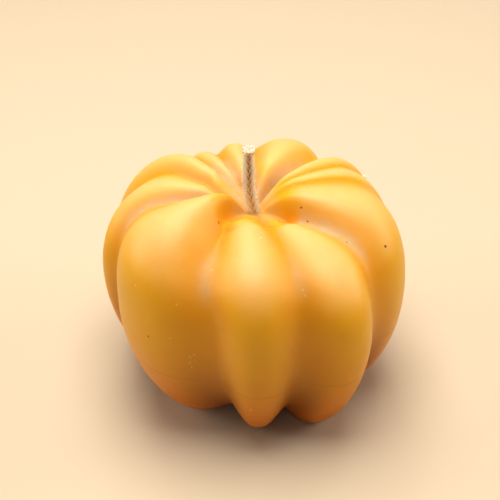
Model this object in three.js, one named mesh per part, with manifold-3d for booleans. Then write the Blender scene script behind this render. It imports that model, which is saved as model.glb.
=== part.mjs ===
// A small pumpkin-shaped candle: one casting of yellow beeswax with a braided cotton wick through it.
// Millimetres, +Z up. The candle stands on the flat face it was poured to, at z = 0.
import * as THREE from 'three';
import { mergeVertices } from 'three/addons/utils/BufferGeometryUtils.js';
import Module from 'manifold-3d';

// Wax body, as a crest line swept round the wick: heights are above the lowest point of the mould
const WAIST_RADIUS = 35;
const WAIST_HEIGHT = 29;
const CROWN_RADIUS = 11.7;
const CROWN_HEIGHT = 51.3;
const DIMPLE_RADIUS = 2;
const DIMPLE_HEIGHT = 46.2;
const FOOT_RADIUS = 18;
const POUR_LEVEL = 1.1;
const UPPER_FULLNESS = 2.6;
const LOWER_FULLNESS = 1.8;
const RIB_ROUNDNESS = 2.3;
const GROOVE_SOFTNESS = 0.65;

// Where the crest line passes its crown, its shoulder, its waist and its foot, as shares of its length
// parameter. The grooves have their full depth from GROOVES_START on.
const GROOVES_START = 0.1;
const CROWN_AT = 0.22;
const SHOULDER_AT = 0.3;
const WAIST_AT = 0.6;
const FOOT_AT = 1;
const UNDERSIDE_END = 1.25;

// The eleven ribs, anticlockwise from the front one. Each groove is the one on its rib's anticlockwise side:
// its azimuth in degrees from +X and its depth in mm, at the dimple, the shoulder, the waist and the foot. The
// sink is how far the rib's back lies inside the crest line at the same places, and a proud rib's is negative.
const RIBS = [
  { azimuth: [-67.5, -68.5, -72, -77], depth: [3.5, 3.5, 3.5, 4.5], sink: [1, 1, 0.5, 0] },
  { azimuth: [-33, -30, -35.5, -36], depth: [5, 4.25, 3.5, 4], sink: [3.5, 2.75, -1.5, -2] },
  { azimuth: [21, 18, 9, 7], depth: [0, 0.75, 3, 4], sink: [-0.25, 0, 0.5, -0.5] },
  { azimuth: [35, 33.5, 29, 29], depth: [0.25, 1, 2.5, 4], sink: [0, 0.5, 2, 0] },
  { azimuth: [49, 50, 53, 53], depth: [2.5, 3, 4.5, 4], sink: [0.5, 0.5, -0.5, 0] },
  { azimuth: [90, 90, 89, 88], depth: [2, 2.5, 4, 4], sink: [-0.5, -0.5, 0, 0] },
  { azimuth: [113, 110, 102, 103], depth: [2.5, 3, 3.5, 4], sink: [1, 1, 1, 0] },
  { azimuth: [125, 124, 121, 121], depth: [2, 2.5, 3, 4], sink: [2, 1.75, 1, 0] },
  { azimuth: [161, 148, 166, 168], depth: [2, 1.5, 1.5, 4], sink: [1, -0.75, -2, 0] },
  { azimuth: [174, 177, 187, 195], depth: [2, 3, 4, 4.5], sink: [1.5, 0.75, 0, 0] },
  { azimuth: [224, 244, 253, 256], depth: [3, 4, 5, 5], sink: [-2, -2, 1, 1] },
];

// Wick: a square braid, straight inside the wax, that bends to the left as it leaves it
const WICK_WIDTH = 2.4;
const WICK_SQUARENESS = 4;
const WICK_STANDS = 16.6;
const WICK_LEAN = 0.75;
const WICK_LEAN_RISE = 7;
const WICK_BASE_CLEARANCE = 0.5;
const WICK_TIP_FLARE = 0.3;
const WICK_TIP_LENGTH = 1.4;
const BRAID_PITCH = 2;
const BRAID_SLOPE = 1;
const BRAID_RELIEF = 0.18;
const BRAID_START = 1;
const CHANNEL_GAP = 0.3;

// Mesh fineness
const COLUMNS_PER_RIB = 8;
const BODY_ROWS = 34;
const WICK_SIDES = 24;
const ROWS_PER_PITCH = 6;
const PLAIN_WICK_ROWS = 8;
const CREST_SAMPLES = 600;
const SLOPE_STEP = 1e-3;
const MERGE_DISTANCE = 1e-4;

const radians = THREE.MathUtils.degToRad;
const { clamp, lerp, smoothstep } = THREE.MathUtils;

// Joins rows of points, each row a closed ring, into one closed mesh with a point at either end
function ringSurface(rings, firstPole, lastPole) {
  const sides = rings[0].length;
  const points = [firstPole, ...rings.flat(), lastPole];
  const last = points.length - 1;
  const at = (row, side) => 1 + row * sides + (side % sides);
  const faces = [];
  for (let side = 0; side < sides; side++) {
    faces.push(0, at(0, side), at(0, side + 1));
    faces.push(last, at(rings.length - 1, side + 1), at(rings.length - 1, side));
  }
  for (let row = 0; row < rings.length - 1; row++) {
    for (let side = 0; side < sides; side++) {
      faces.push(at(row, side), at(row + 1, side), at(row, side + 1));
      faces.push(at(row, side + 1), at(row + 1, side), at(row + 1, side + 1));
    }
  }
  const geometry = new THREE.BufferGeometry();
  geometry.setAttribute('position', new THREE.Float32BufferAttribute(points.flatMap((p) => p.toArray()), 3));
  geometry.setIndex(faces);
  return geometry;
}

// A value given at the dimple, the shoulder, the waist and the foot, blended smoothly between them
function alongCrest([dimple, shoulder, waist, foot], t) {
  const top = lerp(dimple, shoulder, smoothstep(t, GROOVES_START, SHOULDER_AT));
  const upper = lerp(top, waist, smoothstep(t, SHOULDER_AT, WAIST_AT));
  return lerp(upper, foot, smoothstep(t, WAIST_AT, FOOT_AT));
}

// The crest line: down from the wick over the crown and the waist, under the foot, and in to the middle
function crestPoint(t) {
  if (t < CROWN_AT) {
    const share = t / CROWN_AT;
    const drop = (CROWN_HEIGHT - DIMPLE_HEIGHT) * (1 - share) ** 2;
    return new THREE.Vector2(lerp(DIMPLE_RADIUS, CROWN_RADIUS, share), CROWN_HEIGHT - drop);
  }
  if (t < WAIST_AT) {
    const turn = ((WAIST_AT - t) / (WAIST_AT - CROWN_AT)) * (Math.PI / 2);
    const out = Math.cos(turn) ** (2 / UPPER_FULLNESS);
    const rise = Math.sin(turn) ** (2 / UPPER_FULLNESS);
    return new THREE.Vector2(lerp(CROWN_RADIUS, WAIST_RADIUS, out), lerp(WAIST_HEIGHT, CROWN_HEIGHT, rise));
  }
  if (t < FOOT_AT) {
    const turn = ((t - WAIST_AT) / (FOOT_AT - WAIST_AT)) * (Math.PI / 2);
    const out = Math.cos(turn) ** (2 / LOWER_FULLNESS);
    const drop = Math.sin(turn) ** (2 / LOWER_FULLNESS);
    return new THREE.Vector2(lerp(FOOT_RADIUS, WAIST_RADIUS, out), lerp(WAIST_HEIGHT, 0, drop));
  }
  const share = (t - FOOT_AT) / (UNDERSIDE_END - FOOT_AT);
  return new THREE.Vector2(lerp(FOOT_RADIUS, FOOT_RADIUS / 2, share), -POUR_LEVEL * share);
}

// Direction into the wax, square to the crest line
function inwardNormal(t) {
  const after = crestPoint(Math.min(t + SLOPE_STEP, UNDERSIDE_END));
  const along = after.sub(crestPoint(Math.max(t - SLOPE_STEP, 0)));
  return new THREE.Vector2(along.y, -along.x).normalize();
}

// Share of a rib's half width, 0 on its back and 1 in its groove, with the groove's bottom rounded
function acrossRib(u) {
  const rounded = (distance) => Math.hypot(distance, GROOVE_SOFTNESS) - GROOVE_SOFTNESS;
  return 1 - rounded((1 - Math.abs(u)) * 2) / rounded(2);
}

// A point of the casting at u across a rib, from -1 to 1, and t along the crest line
function waxPoint(ribIndex, u, t) {
  const rib = RIBS[ribIndex];
  const before = RIBS.at(ribIndex - 1);
  const end = alongCrest(rib.azimuth, t);
  let start = alongCrest(before.azimuth, t);
  if (start > end) {
    start -= 360;
  }
  const azimuth = radians(lerp(start, end, (u + 1) / 2));
  const onset = clamp(t / GROOVES_START, 0, 1);
  const sink = alongCrest(rib.sink, t) * onset;
  const groove = alongCrest((u > 0 ? rib : before).depth, t) * onset;
  const fadeUnder = 1 - smoothstep(t, FOOT_AT, UNDERSIDE_END);
  const depth = lerp(sink, groove, acrossRib(u) ** RIB_ROUNDNESS) * fadeUnder;
  const { x: radius, y: height } = crestPoint(t).addScaledVector(inwardNormal(t), depth);
  return new THREE.Vector3(radius * Math.cos(azimuth), radius * Math.sin(azimuth), height - POUR_LEVEL);
}

// Values of t that step evenly along the crest line
function evenStations(count) {
  const fine = Array.from({ length: CREST_SAMPLES + 1 }, (_, i) => (i / CREST_SAMPLES) * UNDERSIDE_END);
  const lengths = [0];
  for (let i = 1; i < fine.length; i++) {
    lengths.push(lengths[i - 1] + crestPoint(fine[i]).distanceTo(crestPoint(fine[i - 1])));
  }
  return Array.from({ length: count }, (_, i) => {
    const goal = (i / (count - 1)) * lengths.at(-1);
    return fine[lengths.findIndex((length) => length >= goal)];
  });
}

// The whole casting before its pour face is levelled and its channel is made
function castingSurface() {
  const rings = evenStations(BODY_ROWS).map((t) => {
    const ring = [];
    for (let rib = 0; rib < RIBS.length; rib++) {
      for (let column = 0; column < COLUMNS_PER_RIB; column++) {
        ring.push(waxPoint(rib, (2 * column) / COLUMNS_PER_RIB - 1, t));
      }
    }
    return ring;
  });
  const top = new THREE.Vector3(0, 0, DIMPLE_HEIGHT - POUR_LEVEL);
  const bottom = new THREE.Vector3(0, 0, -2 * POUR_LEVEL);
  return ringSurface(rings, top, bottom);
}

// Half width of the wick's rounded square section in a direction
function wickRadius(angle) {
  const across = Math.abs(Math.cos(angle)) ** WICK_SQUARENESS + Math.abs(Math.sin(angle)) ** WICK_SQUARENESS;
  return WICK_WIDTH / 2 / across ** (1 / WICK_SQUARENESS);
}

// Where the middle of the wick stands sideways, at a height: on the axis in the wax, then further left
function wickOffset(z) {
  const surfaceZ = DIMPLE_HEIGHT - POUR_LEVEL;
  return -WICK_LEAN * smoothstep(z, surfaceZ, surfaceZ + WICK_LEAN_RISE);
}

function wickRing(z, top, surfaceZ) {
  const ring = [];
  for (let side = 0; side < WICK_SIDES; side++) {
    const angle = (side / WICK_SIDES) * 2 * Math.PI;
    const onFace = Math.abs(((angle + Math.PI / 4) % (Math.PI / 2)) - Math.PI / 4);
    const strand = z / BRAID_PITCH - BRAID_SLOPE * (onFace / (Math.PI / 4));
    const standsOut = smoothstep(z, surfaceZ, surfaceZ + BRAID_START);
    const relief = BRAID_RELIEF * Math.cos(2 * Math.PI * strand) * standsOut;
    const flare = WICK_TIP_FLARE * smoothstep(z, top - WICK_TIP_LENGTH, top - WICK_TIP_LENGTH / 2);
    const radius = wickRadius(angle) + relief + flare;
    ring.push(new THREE.Vector3(wickOffset(z) + radius * Math.cos(angle), radius * Math.sin(angle), z));
  }
  return ring;
}

function wickSurface() {
  const surfaceZ = DIMPLE_HEIGHT - POUR_LEVEL;
  const top = surfaceZ + WICK_STANDS;
  const heights = [];
  for (let row = 0; row < PLAIN_WICK_ROWS; row++) {
    heights.push(lerp(WICK_BASE_CLEARANCE, surfaceZ, row / PLAIN_WICK_ROWS));
  }
  const braidRows = Math.round((WICK_STANDS / BRAID_PITCH) * ROWS_PER_PITCH);
  for (let row = 0; row <= braidRows; row++) {
    heights.push(lerp(surfaceZ, top, row / braidRows));
  }
  heights.reverse();
  const rings = heights.map((z) => wickRing(z, top, surfaceZ));
  const crown = new THREE.Vector3(wickOffset(top), 0, top);
  return ringSurface(rings, crown, new THREE.Vector3(0, 0, WICK_BASE_CLEARANCE));
}

// The straight channel that the wick runs through, a little wider than the wick
function channelGeometry() {
  const outline = new THREE.Shape();
  for (let side = 0; side < WICK_SIDES; side++) {
    const angle = (side / WICK_SIDES) * 2 * Math.PI;
    const radius = wickRadius(angle) + CHANNEL_GAP;
    outline[side === 0 ? 'moveTo' : 'lineTo'](radius * Math.cos(angle), radius * Math.sin(angle));
  }
  outline.closePath();
  const geometry = new THREE.ExtrudeGeometry(outline, { depth: 2 * CROWN_HEIGHT, bevelEnabled: false });
  return geometry.translate(0, 0, -CROWN_HEIGHT / 2);
}

const wasm = await Module();
wasm.setup();

function toSolid(geometry) {
  geometry.deleteAttribute('normal');
  geometry.deleteAttribute('uv');
  const merged = mergeVertices(geometry, MERGE_DISTANCE);
  return new wasm.Manifold(new wasm.Mesh({
    numProp: 3,
    vertProperties: Float32Array.from(merged.attributes.position.array),
    triVerts: Uint32Array.from(merged.index.array),
  }));
}

function toGeometry(solid) {
  const mesh = solid.getMesh();
  const geometry = new THREE.BufferGeometry();
  geometry.setAttribute('position', new THREE.BufferAttribute(mesh.vertProperties, 3));
  geometry.setIndex(new THREE.BufferAttribute(mesh.triVerts, 1));
  return geometry;
}

// The casting, levelled where it was poured, with the channel for its wick
function waxBody() {
  const size = 4 * WAIST_RADIUS;
  const below = new THREE.BoxGeometry(size, size, size).translate(0, 0, -size / 2);
  const body = toSolid(castingSurface()).subtract(toSolid(below)).subtract(toSolid(channelGeometry()));
  const wax = new THREE.MeshStandardMaterial({ color: 0xe9a52b, roughness: 0.42, metalness: 0 });
  const mesh = new THREE.Mesh(toGeometry(body), wax);
  mesh.name = 'wax_body';
  return mesh;
}

function braidedWick() {
  const cotton = new THREE.MeshStandardMaterial({ color: 0xe6cfa2, roughness: 0.9, metalness: 0 });
  const mesh = new THREE.Mesh(wickSurface(), cotton);
  mesh.name = 'wick';
  return mesh;
}

// The middle of the candle's footprint is its origin, so both pieces shift sideways by the same amount
const candle = new THREE.Group();
candle.add(waxBody(), braidedWick());
const middle = new THREE.Box3().setFromObject(candle).getCenter(new THREE.Vector3());
candle.position.set(-middle.x, -middle.y, 0);

const part = new THREE.Group();
part.add(candle);
export default part;
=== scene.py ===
"""Pumpkin-shaped candle: one casting of yellow beeswax with a braided cotton wick.

The surfaces are functions of two parameters, worked out as whole arrays. Sizes are in metres.
"""
import math

import bpy
import numpy as np
from bpy.props import FloatProperty, FloatVectorProperty, IntProperty, PointerProperty
from mathutils import Matrix, Vector


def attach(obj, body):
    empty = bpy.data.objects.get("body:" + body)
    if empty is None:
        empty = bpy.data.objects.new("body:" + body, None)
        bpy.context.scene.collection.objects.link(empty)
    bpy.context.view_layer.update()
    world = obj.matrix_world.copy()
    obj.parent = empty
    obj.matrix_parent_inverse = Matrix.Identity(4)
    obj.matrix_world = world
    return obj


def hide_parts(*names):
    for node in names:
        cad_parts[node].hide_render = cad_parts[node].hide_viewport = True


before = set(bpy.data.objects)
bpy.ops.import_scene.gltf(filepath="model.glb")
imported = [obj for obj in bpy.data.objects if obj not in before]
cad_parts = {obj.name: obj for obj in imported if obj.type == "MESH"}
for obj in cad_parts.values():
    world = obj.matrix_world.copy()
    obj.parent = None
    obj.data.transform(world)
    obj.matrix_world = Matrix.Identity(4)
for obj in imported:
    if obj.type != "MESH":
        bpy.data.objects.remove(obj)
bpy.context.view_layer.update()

bl_info = {
    "name": "Pumpkin Candle",
    "version": (1, 0, 0),
    "blender": (4, 5, 0),
    "location": "3D View > Sidebar > Candle",
    "description": "Casts a pumpkin-shaped beeswax candle and braids its wick",
    "category": "Add Mesh",
}

MM = 0.001
IMAGE_SIDE = 500
SENSOR_WIDTH = 36

# Where the crest line passes its crown, its shoulder, its waist and its foot, as shares of its length
# parameter. The grooves have their full depth from GROOVES_START on.
GROOVES_START = 0.1
CROWN_AT = 0.22
SHOULDER_AT = 0.3
WAIST_AT = 0.6
FOOT_AT = 1.0
UNDERSIDE_END = 1.25
UNDER_WICK = -0.03
BLOOM_FADE = 0.12

# The eleven ribs, anticlockwise from the front one, each with the groove on its anticlockwise side. Every
# value is given at the dimple, the shoulder, the waist and the foot: the groove's azimuth in degrees from +X
# and its depth in mm, and how far the rib's back sinks inside the crest line in mm.
RIBS = (
    {"azimuth": (-67.5, -68.5, -72, -77), "depth": (3.5, 3.5, 3.5, 4.5), "sink": (1, 1, 0.5, 0)},
    {"azimuth": (-33, -30, -35.5, -36), "depth": (5, 4.25, 3.5, 4), "sink": (3.5, 2.75, -1.5, -2)},
    {"azimuth": (21, 18, 9, 7), "depth": (0, 0.75, 3, 4), "sink": (-0.25, 0, 0.5, -0.5)},
    {"azimuth": (35, 33.5, 29, 29), "depth": (0.25, 1, 2.5, 4), "sink": (0, 0.5, 2, 0)},
    {"azimuth": (49, 50, 53, 53), "depth": (2.5, 3, 4.5, 4), "sink": (0.5, 0.5, -0.5, 0)},
    {"azimuth": (90, 90, 89, 88), "depth": (2, 2.5, 4, 4), "sink": (-0.5, -0.5, 0, 0)},
    {"azimuth": (113, 110, 102, 103), "depth": (2.5, 3, 3.5, 4), "sink": (1, 1, 1, 0)},
    {"azimuth": (125, 124, 121, 121), "depth": (2, 2.5, 3, 4), "sink": (2, 1.75, 1, 0)},
    {"azimuth": (161, 148, 166, 168), "depth": (2, 1.5, 1.5, 4), "sink": (1, -0.75, -2, 0)},
    {"azimuth": (174, 177, 187, 195), "depth": (2, 3, 4, 4.5), "sink": (1.5, 0.75, 0, 0)},
    {"azimuth": (224, 244, 253, 256), "depth": (3, 4, 5, 5), "sink": (-2, -2, 1, 1)},
)

# The bloom in the same grooves: how much, where along the crest line it starts and ends, how far its middle
# lies towards the next rib in mm, and how far it reaches to either side in mm
BLOOM = (
    (0.5, 0.3, 0.48, 0, 1.8),
    (1, 0.2, 0.48, 0.5, 1.5),
    (0, 0, 0, 0, 1),
    (0, 0, 0, 0, 1),
    (0.9, 0.03, 0.33, 0.7, 1.4),
    (0.7, 0.02, 0.3, 0, 1.6),
    (0.9, 0.02, 0.32, 0, 2.4),
    (0.9, 0.02, 0.32, 0, 2.4),
    (0.3, 0.02, 0.35, 0, 1.4),
    (0.9, 0.12, 0.5, -0.7, 1.4),
    (0.6, 0.28, 0.5, 0, 2),
)

# Share of a spot's radius within which it has its full colour
SPOT_CORE = 0.35

# Dark flecks and small burst bubbles in the wax: rib, place across it, place along it and radius in mm
FLECKS = (
    (10, 0.755, 0.205, 0.42),
    (2, -0.56, 0.203, 0.3),
    (2, -0.86, 0.227, 0.28),
    (2, -0.46, 0.446, 0.45),
    (2, -0.99, 0.338, 0.22),
    (10, 0.2, 0.588, 0.3),
)
BUBBLES = (
    (10, 0.08, 0.473, 0.36),
    (10, 0.62, 0.476, 0.3),
    (10, 0.48, 0.576, 0.28),
    (10, 0.69, 0.613, 0.34),
    (10, 0.74, 0.605, 0.3),
    (10, 0.68, 0.635, 0.36),
    (10, 0.69, 0.65, 0.3),
    (0, -0.2, 0.733, 0.36),
    (1, -0.95, 0.409, 0.3),
    (1, -0.93, 0.43, 0.26),
    (0, -0.91, 0.328, 0.34),
    (1, 0.69, 0.444, 0.3),
)

# Loose bits of wax on the candle: rib, place across it, place along it and width in mm
CRUMBS = (
    (0, 0.36, 0.242, 0.45),
    (4, -0.41, 0.487, 1.2),
    (3, 0.1, 0.315, 0.35),
)


def linear(hex_colour):
    """An sRGB hex colour as the linear red, green, blue and alpha that Blender's sockets take."""
    srgb = [int(hex_colour[i : i + 2], 16) / 255 for i in (1, 3, 5)]
    return (*[c / 12.92 if c <= 0.04045 else ((c + 0.055) / 1.055) ** 2.4 for c in srgb], 1.0)


def lerp(start, end, share):
    return start + (end - start) * share


def smoothstep(value, low, high):
    share = np.clip((value - low) / (high - low), 0, 1)
    return share * share * (3 - 2 * share)


def soft_noise(points, cell, seed):
    """Random values from -1 to 1 on a cubic lattice, blended smoothly between the corners of each cell."""
    side = 32
    lattice = np.random.default_rng(seed).uniform(-1, 1, (side, side, side))
    corner = np.floor(points / cell).astype(int)
    share = points / cell - corner
    share = share * share * (3 - 2 * share)
    total = np.zeros(points.shape[:-1])
    for step in np.ndindex(2, 2, 2):
        weight = np.prod(np.where(step, share, 1 - share), axis=-1)
        index = (corner + step) % side
        total += weight * lattice[index[..., 0], index[..., 1], index[..., 2]]
    return total


def grid_normals(points):
    """Outward unit normals of a grid of rings: the cross product of its steps around and along."""
    around = np.roll(points, -1, axis=1) - np.roll(points, 1, axis=1)
    along = np.gradient(points, axis=0)
    normal = np.cross(along, around)
    return normal / np.maximum(np.linalg.norm(normal, axis=-1, keepdims=True), 1e-12)


def closed_rings(points, first_pole, last_pole):
    """Vertices and faces of a grid of rings, closed by a fan to a pole at either end."""
    rows, sides = points.shape[:2]
    index = 1 + np.arange(rows * sides).reshape(rows, sides)
    beside = np.roll(index, -1, axis=1)
    quads = np.stack([index[:-1], index[1:], beside[1:], beside[:-1]], axis=-1).reshape(-1, 4)
    last = rows * sides + 1
    top = np.stack([np.zeros(sides, int), index[0], beside[0]], axis=-1)
    bottom = np.stack([np.full(sides, last), beside[-1], index[-1]], axis=-1)
    vertices = np.vstack([first_pole, points.reshape(-1, 3), last_pole])
    return vertices, quads.tolist() + top.tolist() + bottom.tolist()


def add_piece(name, vertices, faces, material, attributes=()):
    """A smooth-shaded mesh object at the origin, with each attribute's number for every vertex."""
    mesh = bpy.data.meshes.new(name)
    mesh.from_pydata(vertices.tolist(), [], faces)
    mesh.polygons.foreach_set("use_smooth", np.ones(len(mesh.polygons), bool))
    for label, values in dict(attributes).items():
        layer = mesh.attributes.new(label, "FLOAT", "POINT")
        layer.data.foreach_set("value", np.asarray(values, np.float32).ravel())
    mesh.materials.append(material)
    mesh.update()
    piece = bpy.data.objects.new(name, mesh)
    bpy.context.scene.collection.objects.link(piece)
    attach(piece, "root")
    return piece


def add_node(tree, kind, inputs=(), **settings):
    """Adds a node with its settings, and fills its inputs with values or with links from other sockets."""
    node = tree.nodes.new(kind)
    for name, value in settings.items():
        setattr(node, name, value)
    for name, value in dict(inputs).items():
        if isinstance(value, bpy.types.NodeSocket):
            tree.links.new(value, node.inputs[name])
        else:
            node.inputs[name].default_value = value
    return node


def new_material(name):
    material = bpy.data.materials.new(name)
    material.use_nodes = True
    material.node_tree.nodes.clear()
    return material, material.node_tree


def wick_axis():
    """Where the wick stands in the wax, read from the straight lower half of its solid."""
    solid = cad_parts["wick"]
    local = np.empty(len(solid.data.vertices) * 3)
    solid.data.vertices.foreach_get("co", local)
    turn = np.array(solid.matrix_world.to_3x3())
    world = local.reshape(-1, 3) @ turn.T + np.array(solid.matrix_world.translation)
    straight = world[world[:, 2] < world[:, 2].max() / 2, :2]
    return (straight.min(axis=0) + straight.max(axis=0)) / 2


def crest_line(sizes, t):
    """Radius and height of the crest line: a parabola in the dimple, then two quarters of a superellipse, one
    over the shoulder and one under it, and a straight line in to the middle of the underside."""
    dimple = np.clip(t / CROWN_AT, UNDER_WICK / CROWN_AT, 1)
    upper = np.clip((WAIST_AT - t) / (WAIST_AT - CROWN_AT), 0, 1) * math.pi / 2
    lower = np.clip((t - WAIST_AT) / (FOOT_AT - WAIST_AT), 0, 1) * math.pi / 2
    under = np.clip((t - FOOT_AT) / (UNDERSIDE_END - FOOT_AT), 0, 1)
    upper_power = 2 / sizes.upper_fullness
    lower_power = 2 / sizes.lower_fullness
    places = [t < CROWN_AT, t < WAIST_AT, t < FOOT_AT]
    radius = np.select(places, [
        lerp(sizes.dimple_radius, sizes.crown_radius, dimple),
        lerp(sizes.crown_radius, sizes.waist_radius, np.abs(np.cos(upper)) ** upper_power),
        lerp(sizes.foot_radius, sizes.waist_radius, np.abs(np.cos(lower)) ** lower_power),
    ], lerp(sizes.foot_radius, sizes.foot_radius / 2, under))
    height = np.select(places, [
        sizes.crown_height - (sizes.crown_height - sizes.dimple_height) * (1 - np.maximum(dimple, 0)) ** 2,
        lerp(sizes.waist_height, sizes.crown_height, np.abs(np.sin(upper)) ** upper_power),
        lerp(sizes.waist_height, 0, np.abs(np.sin(lower)) ** lower_power),
    ], -sizes.pour_level * under)
    return radius, height


def along_crest(values, t):
    """Values given at the dimple, the shoulder, the waist and the foot, blended smoothly between them."""
    top = lerp(values[0], values[1], smoothstep(t, GROOVES_START, SHOULDER_AT))
    upper = lerp(top, values[2], smoothstep(t, SHOULDER_AT, WAIST_AT))
    return lerp(upper, values[3], smoothstep(t, WAIST_AT, FOOT_AT))


def groove_share(sizes, across):
    """0 on a rib's back and 1 in its groove, with the bottom of the groove rounded."""
    soft = sizes.groove_softness
    distance = np.hypot((1 - np.abs(across)) * 2, soft) - soft
    return 1 - distance / (math.hypot(2, soft) - soft)


def own_and_before(rows, ribs):
    """A table's values for the ribs' own grooves, and for the grooves before them."""
    table = np.array(rows, float)
    return table[ribs].T, table[ribs - 1].T


def rib_values(key, ribs):
    return own_and_before([rib[key] for rib in RIBS], ribs)


def wax_surface(sizes, ribs, across, t):
    """Points of the casting, as in its solid: the crest line swept round the wick, and moved into the wax
    along its own normal by the rib's sink on the rib's back and by the groove's depth at either side. Also
    gives each point's share of the groove and its bloom."""
    own_azimuth, before_azimuth = rib_values("azimuth", ribs)
    before_azimuth = before_azimuth - 360.0 * (ribs == 0)
    azimuth = np.radians(lerp(along_crest(before_azimuth, t), along_crest(own_azimuth, t), (across + 1) / 2))
    own_depth, before_depth = rib_values("depth", ribs)
    sink = rib_values("sink", ribs)[0]
    onset = np.clip(t / GROOVES_START, 0, 1) * (1 - smoothstep(t, FOOT_AT, UNDERSIDE_END))
    share = groove_share(sizes, across)
    groove = np.where(across > 0, along_crest(own_depth, t), along_crest(before_depth, t))
    depth = MM * onset * lerp(along_crest(sink, t), groove, share ** sizes.rib_roundness)
    radius, height = crest_line(sizes, t)
    step = 1e-3
    radius_after, height_after = crest_line(sizes, np.minimum(t + step, UNDERSIDE_END))
    radius_before, height_before = crest_line(sizes, np.maximum(t - step, 0))
    slope = np.stack([radius_after - radius_before, height_after - height_before])
    slope = slope / np.linalg.norm(slope, axis=0)
    radius = radius + slope[1] * depth
    height = height - slope[0] * depth - sizes.pour_level
    points = np.stack([radius * np.cos(azimuth), radius * np.sin(azimuth), height + 0 * azimuth], axis=-1)
    half_width = np.radians(along_crest(own_azimuth, t) - along_crest(before_azimuth, t)) / 2 * radius
    bloom = 0
    for (strength, first, last, aside, reach), side in zip(own_and_before(BLOOM, ribs), (1, -1)):
        from_middle = (across - side) * half_width - aside * MM
        held = strength * smoothstep(t, first - BLOOM_FADE / 2, first + BLOOM_FADE / 2)
        held = held * (1 - smoothstep(t, last - BLOOM_FADE, last))
        bloom = np.maximum(bloom, held * np.exp(-(from_middle / (reach * MM)) ** 2))
    return points, share + 0 * azimuth, bloom


def wax_columns(count):
    """Rib and place across it of each column of the casting, shared out by how wide the ribs are."""
    waists = np.array([rib["azimuth"][2] for rib in RIBS], float)
    widths = (waists - np.roll(waists, 1)) % 360
    shares = np.round(count * widths / 360).astype(int)
    ribs = np.repeat(np.arange(len(RIBS)), shares)
    across = np.concatenate([np.linspace(-1, 1, share, endpoint=False) for share in shares])
    return ribs, across


def even_rows(sizes, count):
    """Values of t that step evenly along the crest line."""
    fine = np.linspace(UNDER_WICK, UNDERSIDE_END, 4000)
    radius, height = crest_line(sizes, fine)
    length = np.concatenate([[0], np.cumsum(np.hypot(np.diff(radius), np.diff(height)))])
    return np.interp(np.linspace(0, length[-1], count), length, fine)[:, None]


def wax_point(sizes, rib, across, t):
    """One point of the casting and the normal there, in the frame."""
    ribs = np.array([rib])
    aside, along = 0.01, 0.004
    steps = (0, aside, -aside, 0, 0)
    rows = (t, t, t, t + along, t - along)
    points = []
    for step, row in zip(steps, rows):
        surface = wax_surface(sizes, ribs, np.array([across + step]), np.array([[row]]))
        points.append(surface[0][0, 0])
    normal = np.cross(points[3] - points[4], points[1] - points[2])
    place = points[0] + np.array([*wick_axis(), 0])
    return place, normal / np.linalg.norm(normal)


def spot_mask(tree, place, spots, sizes):
    """A node mask that is 1 in each of the round spots and fades out at its rim."""
    mask = None
    for rib, across, t, radius in spots:
        centre, _ = wax_point(sizes, rib, across, t)
        away = add_node(tree, "ShaderNodeVectorMath", {0: place, 1: centre.tolist()}, operation="DISTANCE")
        spot = add_node(tree, "ShaderNodeMapRange", {
            "Value": away.outputs["Value"],
            "From Min": radius * MM,
            "From Max": SPOT_CORE * radius * MM,
        }, interpolation_type="SMOOTHSTEP").outputs["Result"]
        if mask is None:
            mask = spot
        else:
            mask = add_node(tree, "ShaderNodeMath", {0: mask, 1: spot}, operation="MAXIMUM").outputs["Value"]
    return mask


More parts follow.
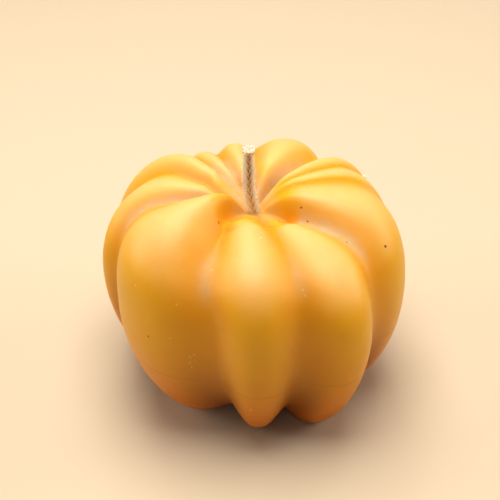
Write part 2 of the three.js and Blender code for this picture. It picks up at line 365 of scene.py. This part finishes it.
def beeswax(sizes):
    """Beeswax, cast and cooled in a rubber mould: light goes some millimetres into it and comes out warmer,
    so the edges glow and the hollows turn orange. The grooves and the lower part are also painted a deeper
    orange as shade, and the faces that look up are painted paler as a highlight. The skin is satin, with a
    pale dusty bloom in the grooves."""
    material, tree = new_material("cast_beeswax")
    place = add_node(tree, "ShaderNodeTexCoord").outputs["Object"]
    share = add_node(tree, "ShaderNodeAttribute", attribute_name="groove").outputs["Fac"]
    bloom = add_node(tree, "ShaderNodeAttribute", attribute_name="bloom").outputs["Fac"]

    # Slow drift between lighter and deeper wax, about a rib wide
    drift = add_node(tree, "ShaderNodeTexNoise", {"Vector": place, "Scale": 1 / (14 * MM), "Detail": 3})
    tint = add_node(tree, "ShaderNodeMix", {
        "Factor": drift.outputs["Fac"],
        6: linear("#eeb428"),
        7: linear("#e4a618"),
    }, data_type="RGBA").outputs[2]
    # Painted shade: the grooves are painted a deeper orange, where shade falls between the ribs
    valley = add_node(tree, "ShaderNodeMapRange", {
        "Value": share, "From Min": 0.35, "From Max": 1.0,
    }, interpolation_type="SMOOTHSTEP").outputs["Result"]
    groove_shade = add_node(tree, "ShaderNodeMath", {0: valley, 1: 0.55}, operation="MULTIPLY").outputs["Value"]
    tint = add_node(tree, "ShaderNodeMix", {
        "Factor": groove_shade, 6: tint, 7: linear("#de8e0c"),
    }, data_type="RGBA").outputs[2]

    # Painted shade: the wax is painted darker and more orange towards the bottom, away from the overhead
    # light, and darkest low in the grooves
    low_shade_tint = add_node(tree, "ShaderNodeMix", {
        "Factor": valley, 6: linear("#cb6e00"), 7: linear("#7c3400"),
    }, data_type="RGBA").outputs[2]
    height = add_node(tree, "ShaderNodeSeparateXYZ", {"Vector": place}).outputs["Z"]
    low = add_node(tree, "ShaderNodeMapRange", {
        "Value": height, "From Min": 34 * MM, "From Max": 5 * MM, "To Max": 0.9,
    }, interpolation_type="SMOOTHSTEP").outputs["Result"]
    tint = add_node(tree, "ShaderNodeMix", {"Factor": low, 6: tint, 7: low_shade_tint}, data_type="RGBA").outputs[2]

    # Painted highlight: the faces that look up are painted paler, where the overhead light's sheen falls
    top_highlight = add_node(tree, "ShaderNodeAttribute", attribute_name="top_highlight").outputs["Fac"]
    tint = add_node(tree, "ShaderNodeMix", {
        "Factor": top_highlight, 6: tint, 7: linear("#f0c27c"),
    }, data_type="RGBA").outputs[2]

    # Bloom lies in patches of about 2 mm, where the wax was not rubbed
    patches = add_node(tree, "ShaderNodeTexNoise", {"Vector": place, "Scale": 1 / (2.2 * MM), "Detail": 4})
    patchy = add_node(tree, "ShaderNodeMapRange", {
        "Value": patches.outputs["Fac"], "From Min": 0.3, "From Max": 0.6, "To Min": 0.55,
    }).outputs["Result"]
    dusty = add_node(tree, "ShaderNodeMath", {0: bloom, 1: patchy}, operation="MULTIPLY").outputs["Value"]
    tint = add_node(tree, "ShaderNodeMix", {
        "Factor": dusty, 6: tint, 7: linear("#cfb086"),
    }, data_type="RGBA").outputs[2]

    # Burst bubbles show as pale dots, and flecks of propolis as dark ones
    bubbles = spot_mask(tree, place, BUBBLES, sizes)
    pale = add_node(tree, "ShaderNodeMath", {0: bubbles, 1: 0.45}, operation="MULTIPLY").outputs["Value"]
    tint = add_node(tree, "ShaderNodeMix", {
        "Factor": pale, 6: tint, 7: linear("#ffd98a"),
    }, data_type="RGBA").outputs[2]
    flecks = spot_mask(tree, place, FLECKS, sizes)
    tint = add_node(tree, "ShaderNodeMix", {
        "Factor": flecks, 6: tint, 7: linear("#4a2208"),
    }, data_type="RGBA").outputs[2]

    # The line that the wax stood at between two pours
    wander = add_node(tree, "ShaderNodeTexNoise", {"Vector": place, "Scale": 1 / (20 * MM), "Detail": 1})
    waved = add_node(tree, "ShaderNodeMath", {
        0: wander.outputs["Fac"], 1: 1.2 * MM, 2: height,
    }, operation="MULTIPLY_ADD").outputs["Value"]
    pour = add_node(tree, "ShaderNodeMath", {
        0: waved, 1: sizes.pour_line + 0.6 * MM, 2: 0.35 * MM,
    }, operation="COMPARE").outputs["Value"]
    faint = add_node(tree, "ShaderNodeMath", {0: pour, 1: 0.15}, operation="MULTIPLY").outputs["Value"]
    tint = add_node(tree, "ShaderNodeMix", {
        "Factor": faint, 6: tint, 7: linear("#a8620c"),
    }, data_type="RGBA").outputs[2]

    rough = add_node(tree, "ShaderNodeMapRange", {
        "Value": dusty, "To Min": 0.38, "To Max": 0.75,
    }).outputs["Result"]
    grain = add_node(tree, "ShaderNodeTexNoise", {"Vector": place, "Scale": 1 / (0.9 * MM), "Detail": 5})
    dents = add_node(tree, "ShaderNodeMath", {0: bubbles, 1: pour}, operation="ADD").outputs["Value"]
    relief = add_node(tree, "ShaderNodeMath", {
        0: dents, 1: -1.0, 2: grain.outputs["Fac"],
    }, operation="MULTIPLY_ADD").outputs["Value"]
    bump = add_node(tree, "ShaderNodeBump", {
        "Height": relief, "Strength": 0.18, "Distance": 0.25 * MM,
    }).outputs["Normal"]
    shader = add_node(tree, "ShaderNodeBsdfPrincipled", {
        "Base Color": tint,
        "Roughness": rough,
        "Normal": bump,
        "IOR": 1.44,
        "Specular IOR Level": 0.3,
        "Subsurface Weight": 0.8,
        "Subsurface Radius": (1.0, 0.6, 0.2),
        "Subsurface Scale": 1.8 * MM,
    })
    add_node(tree, "ShaderNodeOutputMaterial", {"Surface": shader.outputs["BSDF"]})
    return material


def cotton(name, strand, shade):
    """Bleached cotton thread primed with wax: cream where a strand stands up, and tan in the gaps, which
    are full of wax and are also painted darker as shade. The braid's corners are painted whiter as a
    highlight."""
    material, tree = new_material(name)
    gap = add_node(tree, "ShaderNodeAttribute", attribute_name="gap").outputs["Fac"]
    white = add_node(tree, "ShaderNodeAttribute", attribute_name="frayed_and_edge_highlight").outputs["Fac"]
    place = add_node(tree, "ShaderNodeTexCoord").outputs["Object"]
    # Threads are twisted from fibres about 0.1 mm apart, coarse enough here to show
    threads = add_node(tree, "ShaderNodeTexNoise", {"Vector": place, "Scale": 1 / (0.25 * MM), "Detail": 3})
    mixed = add_node(tree, "ShaderNodeMath", {
        0: threads.outputs["Fac"], 1: 0.5, 2: gap,
    }, operation="MULTIPLY_ADD").outputs["Value"]
    # Partly wax and partly painted shade: darker in the gaps between strands
    amount = add_node(tree, "ShaderNodeMapRange", {
        "Value": mixed, "From Min": 0.3, "From Max": 1.1,
    }).outputs["Result"]
    tint = add_node(tree, "ShaderNodeMix", {
        "Factor": amount, 6: strand, 7: shade,
    }, data_type="RGBA").outputs[2]
    # Whiter on the frayed tip and fibres, and painted highlight along the braid's corners
    tint = add_node(tree, "ShaderNodeMix", {
        "Factor": white, 6: tint, 7: linear("#fffaf0"),
    }, data_type="RGBA").outputs[2]
    bump = add_node(tree, "ShaderNodeBump", {
        "Height": threads.outputs["Fac"], "Strength": 0.5, "Distance": 0.1 * MM,
    }).outputs["Normal"]
    shader = add_node(tree, "ShaderNodeBsdfPrincipled", {
        "Base Color": tint,
        "Roughness": 0.75,
        "Normal": bump,
        "Subsurface Weight": 0.5,
        "Subsurface Radius": (1.0, 0.9, 0.75),
        "Subsurface Scale": 1.2 * MM,
        "Sheen Weight": 0.3,
    })
    add_node(tree, "ShaderNodeOutputMaterial", {"Surface": shader.outputs["BSDF"]})
    return material


def wick_line(wax, wick, height):
    """Middle of the wick at a height: straight in the wax, then leaning left and straightening again."""
    start = wax.dimple_height - wax.pour_level
    x, y = wick_axis()
    lean = smoothstep(height, start, start + wick.lean_rise)
    return np.stack([x - wick.lean * lean, y + 0 * lean, height], axis=-1)


def section_radius(width, angle):
    """Half width of a rounded square in a direction: a superellipse of power four."""
    return width / 2 / (np.cos(angle) ** 4 + np.sin(angle) ** 4) ** 0.25


def braid_relief(wick, angle, height):
    """Share of full relief, from 0 in a gap to 1 on a strand. Each strand crosses one corner of the square
    and falls to the middle of the faces on both sides, where the gaps are widest, and those of the next
    corner lie half a pitch lower. Also gives how far each point is from its corner."""
    quarter = angle / (math.pi / 2)
    corner = np.floor(quarter)
    from_corner = np.abs(quarter - corner - 0.5) * 2
    phase = height / wick.braid_pitch + wick.braid_slope * from_corner + 0.5 * (corner % 2)
    share = np.abs(2 * (phase % 1) - 1)
    strand = (1 - share ** lerp(6, 1.8, from_corner)) ** 0.6
    seam = smoothstep(1 - from_corner, 0, 0.15)
    plies = 1 - 0.25 * np.exp(-((phase % 1 - 0.5) / 0.07) ** 2)
    return strand * plies * lerp(0.8, 1, seam), from_corner + 0 * height


def fibre_tubes(roots, directions, bends, radius):
    """Thin tapered fibres, each a closed three-sided tube along a parabola from its root."""
    count, rings, sides = len(roots), 5, 3
    share = np.linspace(0, 1, rings)[None, :, None]
    line = roots[:, None] + directions[:, None] * share + bends[:, None] * share ** 2
    tangent = directions[:, None] + 2 * bends[:, None] * share
    side = np.cross(tangent, np.array([0.3, 0.5, 0.81]))
    side /= np.maximum(np.linalg.norm(side, axis=-1, keepdims=True), 1e-12)
    other = np.cross(tangent, side)
    other /= np.maximum(np.linalg.norm(other, axis=-1, keepdims=True), 1e-12)
    turn = np.arange(sides) * 2 * math.pi / sides
    spoke = side[:, :, None] * np.cos(turn)[:, None] + other[:, :, None] * np.sin(turn)[:, None]
    points = line[:, :, None] + spoke * radius * lerp(1, 0.35, share[..., None])
    index = np.arange(count * rings * sides).reshape(count, rings, sides)
    beside = np.roll(index, -1, axis=2)
    quads = np.stack([index[:, :-1], beside[:, :-1], beside[:, 1:], index[:, 1:]], axis=-1).reshape(-1, 4)
    tips = index[:, -1]
    root_ends = index[:, 0, ::-1]
    return points.reshape(-1, 3), quads.tolist() + tips.tolist() + root_ends.tolist()


class CandleWax(bpy.types.PropertyGroup):
    waist_radius: FloatProperty(
        name="Waist radius", description="Radius of the crest line at the widest place", default=35 * MM,
        unit="LENGTH")
    waist_height: FloatProperty(
        name="Waist height", description="Height of the widest place above the mould's lowest point",
        default=29 * MM, unit="LENGTH")
    crown_radius: FloatProperty(
        name="Crown radius", description="Radius of the highest ring", default=11.7 * MM, unit="LENGTH")
    crown_height: FloatProperty(
        name="Crown height", description="Height of the highest ring", default=51.3 * MM, unit="LENGTH")
    dimple_radius: FloatProperty(
        name="Dimple radius", description="Radius at which the ribs start beside the wick", default=2 * MM,
        unit="LENGTH")
    dimple_height: FloatProperty(
        name="Dimple height", description="Height at which the wick leaves the wax", default=46.2 * MM,
        unit="LENGTH")
    foot_radius: FloatProperty(
        name="Foot radius", description="Radius at which the crest line reaches its lowest point",
        default=18 * MM, unit="LENGTH")
    pour_level: FloatProperty(
        name="Pour level", description="Height of the flat face that the wax was poured to", default=1.1 * MM,
        unit="LENGTH")
    pour_line: FloatProperty(
        name="Pour line", description="Height above the table of the line between two pours",
        default=19.6 * MM, unit="LENGTH")
    upper_fullness: FloatProperty(
        name="Upper fullness", description="Power of the shoulder's superellipse", default=2.6, min=1)
    lower_fullness: FloatProperty(
        name="Lower fullness", description="Power of the lower side's superellipse", default=1.8, min=1)
    rib_roundness: FloatProperty(
        name="Rib roundness", description="Power of the ribs' cross section", default=2.3, min=1)
    groove_softness: FloatProperty(
        name="Groove softness", description="Rounding of the groove bottoms, where a rib's half width is 2",
        default=0.65, min=0.01)
    columns: IntProperty(name="Columns", description="Points round the casting", default=380, min=60)
    rows: IntProperty(name="Rows", description="Points from the dimple to the underside", default=225, min=40)


class CandleWick(bpy.types.PropertyGroup):
    width: FloatProperty(name="Width", description="Width across the flats", default=2.3 * MM, unit="LENGTH")
    stands: FloatProperty(name="Stands", description="Height above the wax", default=16.3 * MM, unit="LENGTH")
    lean: FloatProperty(
        name="Lean", description="How far it bends to the left", default=0.75 * MM, unit="LENGTH")
    lean_rise: FloatProperty(
        name="Lean rise", description="Height over which it bends", default=7 * MM, unit="LENGTH")
    foot: FloatProperty(
        name="Foot", description="Height of its cut lower end above the table", default=0.5 * MM,
        unit="LENGTH")
    braid_pitch: FloatProperty(
        name="Braid pitch", description="Height of one stitch", default=2 * MM, unit="LENGTH")
    braid_slope: FloatProperty(
        name="Braid slope", description="Fall of a strand across half a face, in pitches", default=1)
    relief: FloatProperty(
        name="Relief", description="Height of the strands over their gaps", default=0.26 * MM, unit="LENGTH")
    tip_flare: FloatProperty(
        name="Tip flare", description="How far the cut tip spreads", default=0.3 * MM, unit="LENGTH")
    tip_length: FloatProperty(
        name="Tip length", description="Length of the spread tip", default=1.4 * MM, unit="LENGTH")
    base_flare: FloatProperty(
        name="Base flare", description="How far the strands open where they leave the wax", default=0.2 * MM,
        unit="LENGTH")
    strand_colour: FloatVectorProperty(
        name="Strands", description="Colour of the cotton", subtype="COLOR", size=4,
        default=linear("#fbe6c2"))


class CandleStage(bpy.types.PropertyGroup):
    camera_distance: FloatProperty(
        name="Camera distance", description="From the wick's foot, along the view", default=0.3,
        unit="LENGTH")
    camera_tilt: FloatProperty(
        name="Camera tilt", description="How far the camera looks down", default=math.radians(37.3),
        unit="ROTATION")
    camera_roll: FloatProperty(
        name="Camera roll", description="Turn about the line of sight", default=math.radians(-1.4),
        unit="ROTATION")
    focal_pixels: FloatProperty(
        name="Focal length", description="In pixels of a 500-pixel frame", default=1350)
    wick_pixel_x: FloatProperty(
        name="Wick foot x", description="Its column in a 500-pixel frame", default=253.4)
    wick_pixel_y: FloatProperty(
        name="Wick foot y", description="Its row in a 500-pixel frame", default=210.3)
    floor_colour: FloatVectorProperty(
        name="Floor", description="Plain pale floor", subtype="COLOR", size=4, default=linear("#d6c8b4"))
    top_power: FloatProperty(
        name="Top light", description="Soft light from overhead", default=2.9, unit="POWER")
    back_power: FloatProperty(
        name="Back light", description="Smaller light from high behind", default=0.7, unit="POWER")
    left_power: FloatProperty(
        name="Left light", description="Soft low light from the left", default=0.9, unit="POWER")
    right_power: FloatProperty(
        name="Right light", description="Soft low light from the right", default=1, unit="POWER")
    front_power: FloatProperty(
        name="Front light", description="Weak soft light from the front", default=0.2, unit="POWER")
    sky: FloatProperty(name="Sky", description="Strength of the even light all round", default=0.04)


class CANDLE_OT_cast_wax(bpy.types.Operator):
    """Casts the ribbed body, with its dimple, its flat pour face and its bloom"""

    bl_idname = "candle.cast_wax"
    bl_label = "Cast the wax"

    def execute(self, context):
        sizes = context.scene.candle_wax
        ribs, across = wax_columns(sizes.columns)
        t = even_rows(sizes, sizes.rows)
        points, share, bloom = wax_surface(sizes, ribs, across, t)

        # Wax creeps a little way up the wick
        creep_height, creep_reach = 0.4 * MM, 0.5 * MM
        from_wick = np.hypot(points[..., 0], points[..., 1]) - context.scene.candle_wick.width / 2
        climb = creep_height * np.exp(-np.maximum(from_wick, 0) / creep_reach)
        points[..., 2] += climb * (points[..., 2] > sizes.waist_height)

        # A rubber mould and a warm hand leave the surface uneven, in waves of these heights and lengths in
        # mm, each with its seed
        waves = ((0.1, 9, 3), (0.025, 2.4, 4))
        height = points[..., 2].copy()
        wobble = sum(rise * MM * soft_noise(points, length * MM, seed) for rise, length, seed in waves)
        wobble *= smoothstep(height, 0.5 * MM, 4 * MM) * smoothstep(from_wick, 0, 4 * MM)
        points += grid_normals(points) * wobble[..., None]

        # The pour face is level, with a slightly rounded rim, and its rings inside that, given by radius and
        # rise in mm, go up round the end of the wick
        rim = 0.25 * MM
        points[..., 2] = (points[..., 2] + np.hypot(points[..., 2], rim)) / 2
        spoke = points[-1, :, :2] / np.linalg.norm(points[-1, :, :2], axis=-1, keepdims=True)
        floor = points[-1, :, 2].min()
        under = [(6, 0), (4, 0), (2.4, 0), (1.9, 0.03), (1.6, 0.15), (1.4, 0.45), (1.0, 0.8)]
        rings = np.stack([
            np.column_stack([spoke * radius * MM, np.full(len(spoke), floor + rise * MM)])
            for radius, rise in under
        ])
        padding = np.zeros((len(under), len(spoke)))

        # Bloom stays where hands don't rub: low in the grooves, and in the dimple round the wick
        spoke = points[..., :2] / np.linalg.norm(points[..., :2], axis=-1, keepdims=True)
        behind = smoothstep(spoke[..., 1] - 0.4 * spoke[..., 0], -0.1, 0.6)
        lying = np.maximum(bloom, lerp(0.4, 0.95, behind) * (1 - smoothstep(t, 0.03, lerp(0.1, 0.2, behind))))
        lying = np.concatenate([lying, padding])
        # Painted highlight: how much the faces that look up are painted paler, from the crown outward and
        # less in the grooves
        looks_up = smoothstep(grid_normals(points)[..., 2], 0.35, 1)
        top_highlight = looks_up * smoothstep(t, 0.11, 0.24) * (1 - share ** 2)
        points = np.concatenate([points, rings])
        share = np.concatenate([share, padding])
        top_highlight = np.concatenate([top_highlight, padding])

        centre = np.array([*wick_axis(), 0])
        vertices, faces = closed_rings(
            points + centre,
            centre + (0, 0, points[0, :, 2].mean()),
            centre + (0, 0, points[-1, :, 2].mean()),
        )
        body = add_piece("wax_casting", vertices, faces, beeswax(sizes), {
            "groove": np.concatenate([[0], share.ravel(), [0]]),
            "bloom": np.concatenate([[0], lying.ravel(), [0]]),
            "top_highlight": np.concatenate([[0], top_highlight.ravel(), [0]]),
        })
        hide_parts("wax_body")
        return {"FINISHED"}


class CANDLE_OT_braid_wick(bpy.types.Operator):
    """Braids the cotton wick, from its trimmed foot to its fraying tip"""

    bl_idname = "candle.braid_wick"
    bl_label = "Braid the wick"

    def execute(self, context):
        wax = context.scene.candle_wax
        wick = context.scene.candle_wick
        start = wax.dimple_height - wax.pour_level
        top = start + wick.stands
        sides, rows, hidden_rows = 112, 330, 24
        hidden_top = start - 2 * MM
        height = np.concatenate([
            np.linspace(wick.foot, hidden_top, hidden_rows, endpoint=False),
            np.linspace(hidden_top, top, rows),
        ])[::-1, None]
        angle = (np.arange(sides) / sides * 2 * math.pi)[None]
        strand, from_corner = braid_relief(wick, angle, height)
        tip = smoothstep(height, top - wick.tip_length, top - 0.2 * wick.tip_length)
        radius = section_radius(wick.width, angle) + wick.relief * (strand - 0.7) * (1 - 0.7 * tip)
        above_wax = np.maximum(height - start, 0)
        opening = wick.base_flare * np.exp(-above_wax / (1.5 * MM)) * (height > start)
        radius = radius + wick.tip_flare * tip + opening
        middle = wick_line(wax, wick, height)
        spoke = np.stack([np.cos(angle), np.sin(angle), 0 * angle], axis=-1)
        points = middle + spoke * radius[..., None]
        rough = 0.03 * MM * soft_noise(points, 0.22 * MM, 8)
        rough = rough + 0.16 * MM * tip * soft_noise(points, 0.5 * MM, 10)
        points += spoke * rough[..., None]

        # The cut end is a flat tuft with an uneven top
        tuft_rows = 6
        inward = np.linspace(0.85, 0.15, tuft_rows)[:, None, None]
        tuft = middle[0] + (points[0] - middle[0]) * inward
        tuft[..., 2] += 0.3 * MM * soft_noise(tuft, 0.4 * MM, 9) - 0.1 * MM
        points = np.concatenate([tuft[::-1], points])
        # Darker in the gaps between strands, partly for the wax in them and partly as painted shade, and tan
        # towards the middle of each face higher up
        tanned = 0.3 * smoothstep(from_corner, 0.3, 0.9) * smoothstep(height, start + 5 * MM, start + 10 * MM)
        soaked_and_shaded = 1 - strand + tanned
        gap = np.concatenate([np.zeros((tuft_rows, sides)), soaked_and_shaded])
        # White cotton at the frayed tip, and a painted highlight that whitens the braid's corners, which face
        # the side lights
        tip_and_edge_highlight = np.maximum(tip, 0.95 * smoothstep(from_corner, 0.6, 0.2))
        frayed_and_edge_highlight = np.concatenate([np.ones((tuft_rows, sides)), tip_and_edge_highlight])
        threads = np.clip(0.5 + 0.9 * soft_noise(points, 0.3 * MM, 11), 0, 1)
        ragged = np.concatenate([np.ones((tuft_rows, 1)), tip])
        gap = lerp(gap, 0.9 * threads, ragged)
        frayed_and_edge_highlight = lerp(frayed_and_edge_highlight, 0.5 * (1 - threads), ragged)
        vertices, faces = closed_rings(points, points[0].mean(axis=0), points[-1].mean(axis=0))
        material = cotton("waxed_cotton_braid", wick.strand_colour, linear("#a8692a"))
        piece = add_piece("wick_braid", vertices, faces, material, {
            "gap": np.concatenate([[0], gap.ravel(), [0]]),
            "frayed_and_edge_highlight": np.concatenate([[1], frayed_and_edge_highlight.ravel(), [0]]),
        })
        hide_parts("wick")
        return {"FINISHED"}


class CANDLE_OT_fray_wick(bpy.types.Operator):
    """Lets fibres stand out of the wick's cut tip and along its sides"""

    bl_idname = "candle.fray_wick"
    bl_label = "Fray the wick"

    def execute(self, context):
        wax = context.scene.candle_wax
        wick = context.scene.candle_wick
        rng = np.random.default_rng(21)
        start = wax.dimple_height - wax.pour_level
        top = start + wick.stands

        # Cut fibres at the tip spread outwards
        count = 260
        angle = rng.uniform(0, 2 * math.pi, count)
        out = np.stack([np.cos(angle), np.sin(angle), np.zeros(count)], axis=-1)
        reach = rng.uniform(0.2, 1.35, (count, 1)) * MM
        height = top - rng.uniform(0.1, 1.1, count) * MM
        roots = wick_line(wax, wick, height) + out * reach
        directions = out * rng.uniform(0.0, 0.4, (count, 1)) * MM
        directions[:, 2] += rng.uniform(0.1, 0.6, count) * MM
        bends = rng.normal(0, 0.14, (count, 3)) * MM

        # Loose fibres along the sides lie close, and most are on the left near the wax
        side_count = 460
        side_angle = np.where(rng.random(side_count) < 0.6, rng.normal(math.pi, 0.5, side_count),
                              rng.uniform(0, 2 * math.pi, side_count))
        side_out = np.stack([np.cos(side_angle), np.sin(side_angle), np.zeros(side_count)], axis=-1)
        side_height = start + rng.beta(1.2, 1.8, side_count) * (wick.stands - 1 * MM) + 0.3 * MM
        side_reach = section_radius(wick.width, side_angle)[:, None]
        side_roots = wick_line(wax, wick, side_height) + side_out * side_reach
        side_directions = side_out * rng.uniform(0.05, 0.45, (side_count, 1)) * MM
        side_directions[:, 2] += rng.normal(0.2, 0.45, side_count) * MM
        side_bends = rng.normal(0, 0.16, (side_count, 3)) * MM
        thickness = 0.05 * MM
        vertices, faces = fibre_tubes(
            np.vstack([roots, side_roots]),
            np.vstack([directions, side_directions]),
            np.vstack([bends, side_bends]),
            thickness,
        )
        material = cotton("cotton_fibres", linear("#fbf3e2"), linear("#e6cfa2"))
        piece = add_piece("wick_fibres", vertices, faces, material, {
            "gap": np.zeros(len(vertices)),
            "frayed_and_edge_highlight": np.full(len(vertices), 0.6),
        })
        return {"FINISHED"}


class CANDLE_OT_drop_crumbs(bpy.types.Operator):
    """Leaves a few crumbs of wax on the ribs"""

    bl_idname = "candle.drop_crumbs"
    bl_label = "Drop the crumbs"

    def execute(self, context):
        sizes = context.scene.candle_wax
        sides, rows = 12, 7
        polar = np.linspace(0.15, math.pi - 0.15, rows)[:, None]
        angle = (np.arange(sides) / sides * 2 * math.pi)[None]
        ball = np.stack([
            np.sin(polar) * np.cos(angle),
            np.sin(polar) * np.sin(angle),
            np.cos(polar) + 0 * angle,
        ], axis=-1)
        all_vertices, all_faces = [], []
        for number, (rib, across, t, width) in enumerate(CRUMBS):
            place, normal = wax_point(sizes, rib, across, t)
            lump = ball * (1 + 0.3 * soft_noise(ball + number, 0.7, 12)[..., None]) * (1, 0.8, 0.6)
            turn = np.array(Vector(normal).to_track_quat("Z", "Y").to_matrix())
            lump = lump @ turn.T * width / 2 * MM + place + normal * 0.12 * width * MM
            vertices, faces = closed_rings(lump, lump[0].mean(axis=0), lump[-1].mean(axis=0))
            first = sum(len(part) for part in all_vertices)
            all_vertices.append(vertices)
            all_faces += [[first + corner for corner in face] for face in faces]
        material, tree = new_material("pale_wax_crumb")
        shader = add_node(tree, "ShaderNodeBsdfPrincipled", {
            "Base Color": linear("#fff0cf"),
            "Roughness": 0.3,
            "IOR": 1.44,
            "Subsurface Weight": 0.4,
            "Subsurface Radius": (1.0, 0.8, 0.5),
            "Subsurface Scale": 0.4 * MM,
        })
        add_node(tree, "ShaderNodeOutputMaterial", {"Surface": shader.outputs["BSDF"]})
        piece = add_piece("wax_crumbs", np.vstack(all_vertices), all_faces, material)
        return {"FINISHED"}


class CANDLE_OT_set_stage(bpy.types.Operator):
    """Sets the plain floor, the soft light and the camera"""

    bl_idname = "candle.set_stage"
    bl_label = "Set the stage"

    def execute(self, context):
        stage = context.scene.candle_stage
        wax = context.scene.candle_wax
        side = 1.5
        corners = [(-side, -side, 0), (side, -side, 0), (side, side, 0), (-side, side, 0)]
        mesh = bpy.data.meshes.new("floor")
        mesh.from_pydata(corners, [], [(0, 1, 2, 3)])
        material, tree = new_material("pale_floor")
        shader = add_node(tree, "ShaderNodeBsdfPrincipled", {
            "Base Color": stage.floor_colour, "Roughness": 0.6, "Specular IOR Level": 0.3,
        })
        add_node(tree, "ShaderNodeOutputMaterial", {"Surface": shader.outputs["BSDF"]})
        mesh.materials.append(material)
        floor = bpy.data.objects.new("floor", mesh)
        context.scene.collection.objects.link(floor)

        world = bpy.data.worlds.new("even_light")
        world.use_nodes = True
        background = world.node_tree.nodes["Background"]
        background.inputs["Color"].default_value = linear("#fdfaf5")
        background.inputs["Strength"].default_value = stage.sky
        context.scene.world = world
        context.scene.view_settings.view_transform = "Standard"

        middle = Vector((0, 0, 30 * MM))
        lights = (
            ("top_light", (0, 0.03, 0.5), (0.35, 0.35), stage.top_power),
            ("back_light", (-0.06, 0.27, 0.42), (0.2, 0.2), stage.back_power),
            ("left_light", (-0.45, 0.05, 0.22), (0.3, 0.3), stage.left_power),
            ("right_light", (0.45, 0.05, 0.22), (0.3, 0.3), stage.right_power),
            ("front_light", (-0.1, -0.42, 0.28), (0.4, 0.4), stage.front_power),
        )
        for name, place, size, power in lights:
            data = bpy.data.lights.new(name, "AREA")
            data.shape = "RECTANGLE"
            data.size, data.size_y = size
            data.energy = power
            data.color = linear("#fff3e0")[:3]
            light = bpy.data.objects.new(name, data)
            light.location = place
            light.rotation_euler = (middle - Vector(place)).to_track_quat("-Z", "Y").to_euler()
            context.scene.collection.objects.link(light)

        tilt, roll = stage.camera_tilt, stage.camera_roll
        forward = Vector((0, math.cos(tilt), -math.sin(tilt)))
        level = Vector((1, 0, 0))
        rise = Vector((0, math.sin(tilt), math.cos(tilt)))
        right = level * math.cos(roll) + rise * math.sin(roll)
        up = rise * math.cos(roll) - level * math.sin(roll)
        wick_foot = Vector((*wick_axis(), wax.dimple_height - wax.pour_level))
        aside = (stage.wick_pixel_x - IMAGE_SIDE / 2) / stage.focal_pixels
        below = (stage.wick_pixel_y - IMAGE_SIDE / 2) / stage.focal_pixels
        place = wick_foot - stage.camera_distance * (forward + aside * right - below * up)
        data = bpy.data.cameras.new("camera")
        data.sensor_width = SENSOR_WIDTH
        data.lens = SENSOR_WIDTH * stage.focal_pixels / IMAGE_SIDE
        data.clip_start = 0.01
        camera = bpy.data.objects.new("camera", data)
        camera.matrix_world = Matrix.Translation(place) @ Matrix((right, up, -forward)).transposed().to_4x4()
        context.scene.collection.objects.link(camera)
        context.scene.camera = camera
        return {"FINISHED"}


class CANDLE_PT_panel(bpy.types.Panel):
    bl_label = "Candle"
    bl_idname = "CANDLE_PT_panel"
    bl_space_type = "VIEW_3D"
    bl_region_type = "UI"
    bl_category = "Candle"

    def draw(self, context):
        column = self.layout.column()
        for group in (context.scene.candle_wax, context.scene.candle_wick, context.scene.candle_stage):
            for name in group.__annotations__:
                column.prop(group, name)
        for operator in OPERATORS:
            column.operator(operator.bl_idname)


GROUPS = {"candle_wax": CandleWax, "candle_wick": CandleWick, "candle_stage": CandleStage}
OPERATORS = (
    CANDLE_OT_cast_wax,
    CANDLE_OT_braid_wick,
    CANDLE_OT_fray_wick,
    CANDLE_OT_drop_crumbs,
    CANDLE_OT_set_stage,
)


def register():
    for cls in (*GROUPS.values(), *OPERATORS, CANDLE_PT_panel):
        bpy.utils.register_class(cls)
    for name, group in GROUPS.items():
        setattr(bpy.types.Scene, name, PointerProperty(type=group))


def unregister():
    for name in GROUPS:
        delattr(bpy.types.Scene, name)
    for cls in reversed((*GROUPS.values(), *OPERATORS, CANDLE_PT_panel)):
        bpy.utils.unregister_class(cls)


def main():
    register()
    bpy.ops.candle.set_stage()
    bpy.ops.candle.cast_wax()
    bpy.ops.candle.braid_wick()
    bpy.ops.candle.fray_wick()
    bpy.ops.candle.drop_crumbs()


if __name__ == "__main__":
    main()
